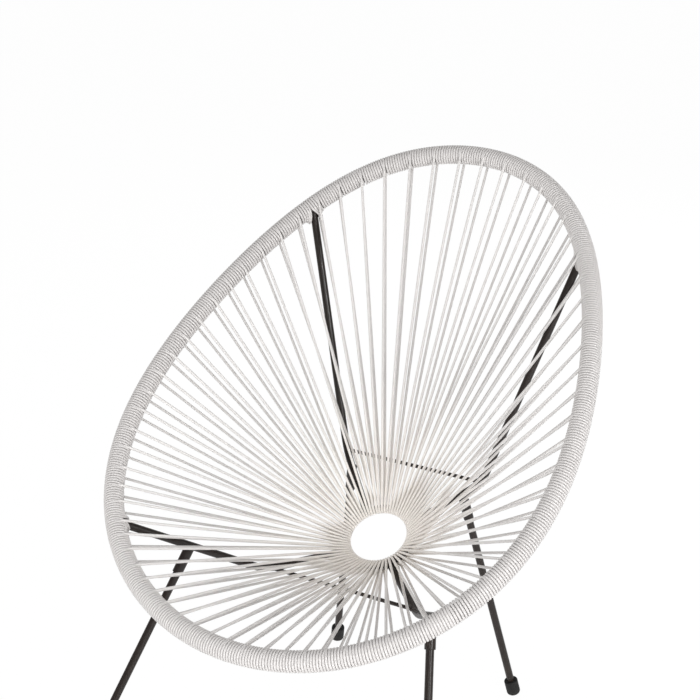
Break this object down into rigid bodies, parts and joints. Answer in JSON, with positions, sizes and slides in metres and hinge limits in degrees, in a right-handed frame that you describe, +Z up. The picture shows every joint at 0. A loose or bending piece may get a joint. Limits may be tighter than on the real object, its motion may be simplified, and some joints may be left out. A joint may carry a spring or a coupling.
{
  "type": "lounge chair",
  "caption": "Outdoor lounge chair: egg-shaped hoop wound with pale cord, taut cord loops running down to a small centre ring as a bowl seat, on a dark steel frame with splayed legs.",
  "frame": {"origin": "on the floor under the middle of the hoop, which is the bottom centre of the bounding box", "axes": "+Z up; the chair faces -Y and its back is towards +Y; +X is the right side seen from the front"},
  "size_m": [0.7239, 0.7659, 0.8753],
  "materials": {
    "cord": "smooth extruded plastic cord, pale warm grey",
    "frame_paint": "satin dark charcoal powder coat",
    "rubber": "matte black moulded rubber",
    "screw": "zinc plated"
  },
  "bodies": {
    "root": {"centre_ring": "frame_paint", "cord_panel_01": "cord", "cord_panel_02": "cord", "cord_panel_03": "cord", "cord_panel_04": "cord", "cord_panel_05": "cord", "cord_panel_06": "cord", "cord_panel_07": "cord", "cord_panel_08": "cord", "cord_panel_09": "cord", "cord_panel_10": "cord", "cord_panel_11": "cord", "cord_panel_12": "cord", "cord_panel_13": "cord", "cord_panel_14": "cord", "cord_panel_15": "cord", "cord_panel_16": "cord", "cord_panel_17": "cord", "cord_panel_18": "cord", "cord_panel_19": "cord", "cord_panel_20": "cord", "cord_panel_21": "cord", "cord_panel_22": "cord", "cord_panel_23": "cord", "cross_bar_front": "frame_paint", "cross_bar_rear": "frame_paint", "foot_cap_front_left": "rubber", "foot_cap_front_right": "rubber", "foot_cap_rear_left": "rubber", "foot_cap_rear_right": "rubber", "hoop_tube": "frame_paint", "leg_front_left": "frame_paint", "leg_front_right": "frame_paint", "leg_rear_left": "frame_paint", "leg_rear_right": "frame_paint", "leg_screw_front_left": "screw", "leg_screw_front_right": "screw", "leg_screw_rear_left": "screw", "leg_screw_rear_right": "screw", "leg_socket_front_left": "frame_paint", "leg_socket_front_right": "frame_paint", "leg_socket_rear_left": "frame_paint", "leg_socket_rear_right": "frame_paint", "strut_front_left": "frame_paint", "strut_front_right": "frame_paint", "strut_rear_left": "frame_paint", "strut_rear_right": "frame_paint"}
  },
  "joints": []
}
